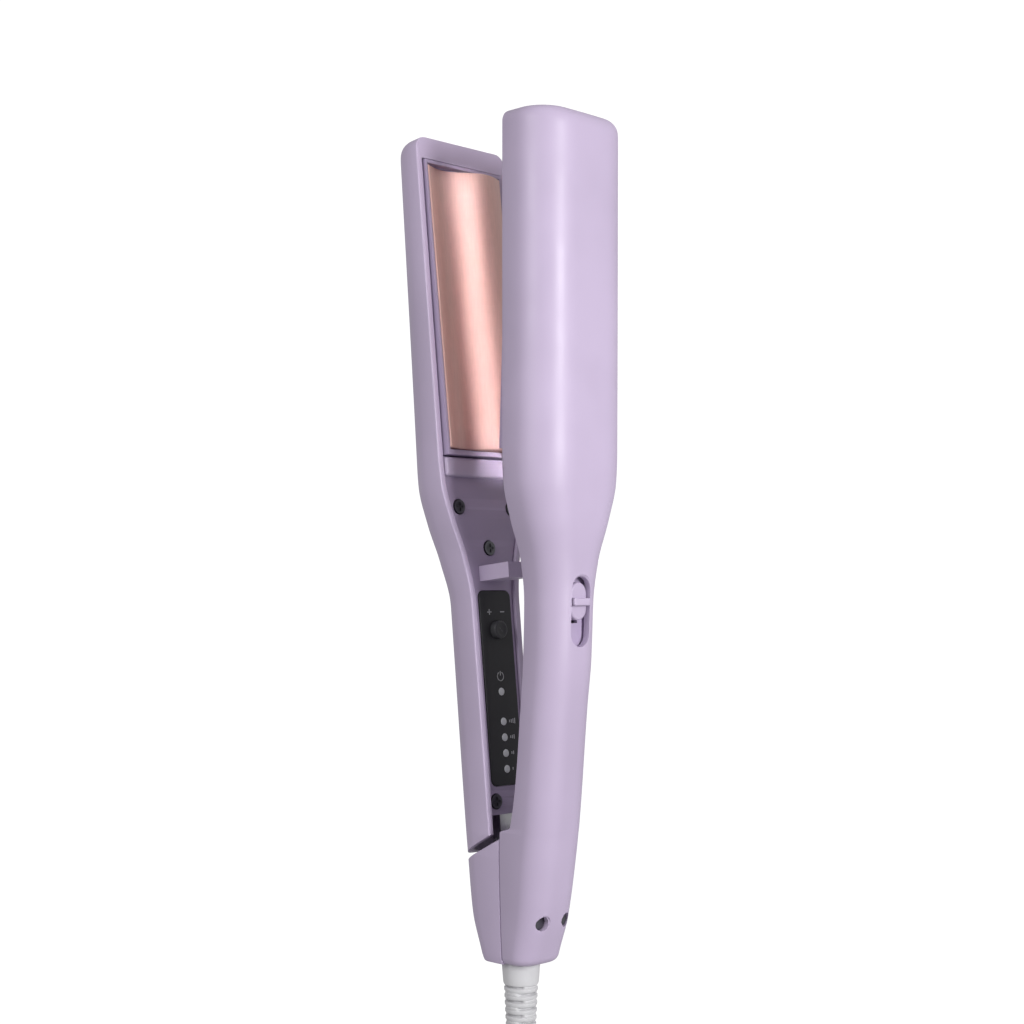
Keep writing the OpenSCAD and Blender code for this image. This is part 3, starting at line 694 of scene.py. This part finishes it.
def make_moving_cover():
    """The inner cover: a sunk field below a raised ledge, a step round the panel, and four counterbores"""
    bm = bmesh.new()
    xs = steps_between([51, 126, 176.6], 1.5) + [COVER_X]
    lidded(bm, xs, MOVING, lambda x: station(MOVING, x)[2] + COVER_DROP, 2.0, WALL + 0.25)
    # the inner slot's material is the lilac darkened as painted shade
    obj = piece("moving_cover_skin", finished("moving_cover_skin", bm, IN_ARM), "moving_arm", "inner",
                ["moving_cover"])
    holes = [(drill(x, station(MOVING, x)[2] + COVER_DROP, z, 12, 2.85, 0.25, -1), IN_ARM)
             for x, z in MOVING_SCREWS]
    outline = soft_rect(PANEL_L + 0.4, PANEL_W + 0.4, 2.6)
    window = prism([(PANEL_X + PANEL_L / 2 + x, z) for x, z in outline], -6, 14)
    cut(obj, (window, IN_ARM), *holes)
    ledge = bmesh.new()
    half = station(MOVING, 172)[0] - WALL - 0.3
    rounded_box(ledge, COVER_X - 7, COVER_X - 0.1, 2.25, 5.6, half, 1.1, 0, 5)
    shelf = piece("ledge", finished("ledge", ledge, IN_ARM), "moving_arm", "shell")
    return obj, shelf


def soft_rect(length, width, r, steps=6):
    """Points (x, z) round a rectangle with rounded corners, about its middle"""
    points = []
    for sx, sz, start in ((1, 1, 0), (-1, 1, 90), (-1, -1, 180), (1, -1, 270)):
        for k in range(steps + 1):
            a = math.radians(start + 90 * k / steps)
            x = sx * (length / 2 - r) + r * math.cos(a)
            points.append((x, sz * (width / 2 - r) + r * math.sin(a)))
    return points


def make_fixed_cover():
    bm = bmesh.new()
    xs = steps_between([50, 126, COVER_X], 2)
    lidded(bm, xs, FIXED, lambda x: station(FIXED, x)[2] - COVER_DROP, -2.0, WALL + 0.25)
    mesh = finished("fixed_cover_skin", bm, DESIGN)
    # the inner slot's material is the lilac darkened as painted shade
    obj = piece("fixed_cover_skin", mesh, "fixed_arm", "inner", ["fixed_cover"])
    holes = [(drill(x, station(FIXED, x)[2] - COVER_DROP, z, 12, 2.85, 0.25, 1), DESIGN)
             for x, z in FIXED_SCREWS]
    (x0, _, _), (x1, _, _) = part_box("catch_block")
    a, b = (x0 - START.x) / MM - 2, 151.5
    window = prism([((a + b) / 2 + x, z) for x, z in soft_rect(b - a, 14.8, 1.2)], -26, 0)
    cut(obj, (window, DESIGN), *holes)
    return obj


# ---------------------------------------------------------------- plates
PLATE_L, PLATE_W, WAVE, PLATE_T = 102.0, 35.4, 2.5, 4.5
PLATE_X = CARRIER_END - 1.9 - PLATE_L


def make_plate(name, body, node, seat, up):
    """A wavy plate with rounded long edges and a fine groove beside each"""
    bm = bmesh.new()
    n, r = 96, 0.55
    profile = []
    for k in range(n + 1):
        z = PLATE_W * (k / n - 0.5)
        y = WAVE * math.sin(2 * math.pi * (0.5 - z / PLATE_W))
        edge = max(0.0, abs(z) - (PLATE_W / 2 - r)) / r
        groove = 0.12 * math.exp(-((PLATE_W / 2 - abs(z) - 1.2) / 0.4) ** 2)
        profile.append((y - up * (groove + 0.5 * (1 - math.sqrt(max(0, 1 - min(1, edge) ** 2)))), z))
    profile += [(-up * PLATE_T, PLATE_W / 2), (-up * PLATE_T, -PLATE_W / 2)]
    rings = []
    for x, sink in ((0, 0.35), (0.12, 0.12), (0.4, 0), *((PLATE_L * k / 12, 0) for k in range(1, 12)),
                    (PLATE_L - 0.4, 0), (PLATE_L - 0.12, 0.12), (PLATE_L, 0.35)):
        rings.append([(PLATE_X + x, y - (up * sink if abs(y) < PLATE_T - 0.01 else 0), z)
                      for y, z in profile])
    join_rings(bm, rings)
    return piece(name, finished(name, bm, seat, 50), body, "plate", [node])


def seat(base, y, degrees):
    """The plate's place: y off the arm's line, turned about the plate's near end"""
    at = Vector((PLATE_X, 0, 0))
    turn = Matrix.Rotation(math.radians(degrees), 4, "Z")
    return base @ Matrix.Translation(at + Vector((0, y, 0))) @ turn @ Matrix.Translation(-at)


# ---------------------------------------------------------------- controls
def make_panel():
    """The dark panel: a soft-edged slab with a round well for the button and five lamp holes"""
    bm = bmesh.new()
    rings = []
    for y, shrink in ((2.0, 0), (0.35, 0), (0.1, 0.1), (0.0, 0.3)):
        rings.append([(PANEL_X + PANEL_L / 2 + x, PANEL_Y + y, z)
                      for x, z in soft_rect(PANEL_L - 2 * shrink, PANEL_W - 2 * shrink, 2.4)])
    join_rings(bm, rings)
    obj = piece("control_panel_skin", finished("control_panel_skin", bm, IN_ARM), "moving_arm", "panel",
                ["control_panel"])
    holes = [(drill(BUTTON_X, PANEL_Y, 0, 10, 3.4, 0.2, -1), IN_ARM)]
    holes += [(drill(x, PANEL_Y, 0, 10, 1.42, 0.08, -1), IN_ARM) for x in LAMPS]
    cut(obj, *holes)
    obj.data.set_sharp_from_angle(angle=math.radians(20))
    return obj


def make_button():
    bm = bmesh.new()
    profile = [(3.2, -2.7), (3.2, 1.6), (3.14, 1.95), (2.95, 2.22), (2.65, 2.36), (2.35, 2.36), (2.1, 2.26),
               (1.5, 2.12), (0.7, 2.04), (0.01, 2.02)]
    turned(bm, profile, facing_y(BUTTON_X, PANEL_Y, 0, -1), 56)
    return piece("power_button_cap", finished("power_button_cap", bm, IN_ARM), "button", "button",
                 ["power_button"])


def make_lamps(name, xs, node):
    bm = bmesh.new()
    for x in xs:
        profile = [(1.4, -3.4), (1.4, -0.05), (1.36, 0.08), (1.22, 0.2), (0.9, 0.3), (0.45, 0.36),
                   (0.01, 0.38)]
        turned(bm, profile, facing_y(x, PANEL_Y, 0, -1), 32)
    return piece(name, finished(name, bm, IN_ARM), "moving_arm", "lamp", [node])


def stroke(bm, x, z, length, width, turn=0.0):
    """One printed bar on the panel, length along the arm unless turned"""
    made = bmesh.ops.create_cube(bm, size=1)["verts"]
    bmesh.ops.transform(bm, verts=made, matrix=Matrix.Translation((x, PANEL_Y - 0.03, z))
                        @ Matrix.Rotation(turn, 4, "Y") @ Matrix.Diagonal((length, 0.1, width, 1)))


def make_marks():
    """Plain printed signs: plus and minus over the button, a power sign, and bars beside the lamps"""
    bm = bmesh.new()
    for z in (3.2, -3.2):
        stroke(bm, BUTTON_X + 6.4, z, 0.35, 2.0)
    stroke(bm, BUTTON_X + 6.4, 3.2, 2.0, 0.35)
    cx = LAMPS[0] + 5.4
    for k in range(13):
        a = math.radians(40 + 280 * k / 12)
        stroke(bm, cx + 1.5 * math.cos(a), 1.5 * math.sin(a), 0.3, 0.85, -a)
    stroke(bm, cx + 1.1, 0, 1.6, 0.3)
    for lamp, x in enumerate(reversed(LAMPS[1:])):
        for k in range(lamp + 1):
            stroke(bm, x, -2.9 - 0.85 * k, 0.9 + 0.35 * k, 0.35)
    return piece("panel_marks", finished("panel_marks", bm, IN_ARM), "moving_arm", "panel", (), "print")


def make_slider():
    """The slide lock: a rounded pad with a thumb rib, on the neck, bar and hook of the CAD"""
    bm = bmesh.new()
    pad_l, pad_w = 13.0, SLOT_W - 1
    pad_x = SLOT_X + SLOT_L - pad_l - 1.9
    rings = []
    for y, shrink in ((-24.75, 0), (-27.0, 0), (-27.35, 0.12), (-27.6, 0.4), (-27.7, 0.9)):
        rings.append([(pad_x + pad_l / 2 + x, y, z)
                      for x, z in obround(pad_l - 2 * shrink, pad_w - 2 * shrink)])
    join_rings(bm, rings)
    neck_x = pad_x + 7.4
    rounded_box(bm, pad_x + 5, pad_x + 7.6, -29.6, -27.3, pad_w / 2 - 0.1, 0.55, 0, 4)
    rounded_box(bm, neck_x, neck_x + 4.4, -25, -22.6, 2, 0.2)
    rounded_box(bm, neck_x - 2, 151, -22.9, -20.9, 3.4, 0.3)
    rounded_box(bm, 148.6, 151, -21.2, -14.2, 3.4, 0.3)
    rounded_box(bm, 146, 148.9, -15.4, -14.2, 3.4, 0.3)
    mesh = finished("lock_slider_skin", bm, DESIGN)
    return piece("lock_slider_skin", mesh, "lock", "shell", ["lock_slider"])


make_fixed_shell()
make_base_cover()
make_moving_shell()
make_fixed_cover()
make_moving_cover()
make_plate("fixed_plate_skin", "fixed_arm", "fixed_plate", seat(DESIGN, -7.9, -2.2), 1)
make_plate("moving_plate_skin", "moving_arm", "moving_plate", seat(IN_ARM, 0.5, 0.75), -1)
make_panel()
make_marks()
make_button()
make_lamps("power_lamp_lens", LAMPS[:1], "power_lamp")
make_lamps("heat_lamp_lenses", LAMPS[1:], "heat_lamps")
make_slider()


# ---------------------------------------------------------------- CAD nodes that stay
EDGE_RADIUS = {"catch_block": 0.35, "fixed_carrier": 0.3, "moving_carrier": 0.3, "fixed_screws": 0.15,
           "moving_screws": 0.15, "base_screws": 0.15, "slider_guide": 0.2, "plug_pins": 0.3,
           "hinge_frame": 0.2, "cord_clamp": 0.3}
slot_of = {row["node"]: row["material_slot"] for row in frame["record"]["subparts"]}
for name, obj in frame["nodes"].items():
    obj.data.materials.clear()
    # screws take the near-black steel, painted shade in their holes
    obj.data.materials.append(MATERIALS["screw" if name.endswith("_screws") else slot_of[name]])
    if name in EDGE_RADIUS:
        soften(obj, EDGE_RADIUS[name])


# ---------------------------------------------------------------- floor, light
def make_floor():
    mesh = bpy.data.meshes.new("floor")
    size = 6.0
    corners = [(-size, -size, 0), (size, -size, 0), (size, size, 0), (-size, size, 0)]
    mesh.from_pydata(corners, [], [(0, 1, 2, 3)])
    floor = bpy.data.objects.new("floor", mesh)
    floor.location.z = min(cad_box[0].z, 0) - 0.0002
    bpy.context.scene.collection.objects.link(floor)
    material = bpy.data.materials.new("pale_floor")
    material.use_nodes = True
    shader = material.node_tree.nodes["Principled BSDF"]
    shader.inputs["Base Color"].default_value = (0.12, 0.12, 0.12, 1)
    shader.inputs["Roughness"].default_value = 1
    shader.inputs["Specular IOR Level"].default_value = 0
    shader.inputs["Emission Color"].default_value = (1, 1, 1, 1)
    shader.inputs["Emission Strength"].default_value = 1.0
    mesh.materials.append(material)
    floor.visible_diffuse = False
    floor.visible_glossy = False


def area_light(name, at, target, size, power, spread=180, turn=0.0):
    data = bpy.data.lights.new(name, "AREA")
    data.spread = math.radians(spread)
    data.shape = "RECTANGLE"
    data.size, data.size_y = size
    data.energy = power
    lamp = bpy.data.objects.new(name, data)
    back = (Vector(at) - Vector(target)).normalized()
    side = (Matrix.Rotation(turn, 3, "Z") @ Vector((1, 0, 0))).cross(back).normalized()
    facing = Matrix((-side.cross(back), -side, back)).transposed().to_4x4()
    lamp.matrix_world = Matrix.Translation(at) @ facing
    bpy.context.scene.collection.objects.link(lamp)


make_floor()
world = bpy.data.worlds.new("studio")
world.use_nodes = True
world.node_tree.nodes["Background"].inputs["Color"].default_value = (1, 1, 1, 1)
world.node_tree.nodes["Background"].inputs["Strength"].default_value = 0.42
bpy.context.scene.world = world
area_light("key", (0.3, -0.12, 0.8), (0.06, 0, 0), (0.35, 0.3), 1.7)
area_light("front", (0.14, -0.8, 0.12), (0.03, -0.03, 0.02), (0.4, 0.2), 1.15, 80)
# a slit of light through the gap between the arms, along the moving plate
plate_at = IN_ARM @ Vector((PLATE_X + PLATE_L / 2 - 5, 0, 0.5))
area_light("slit", plate_at + 0.2 * Vector((0, -0.55, 0.835)), plate_at, (0.112, 0.008), 0.007, 3,
           math.radians(9))
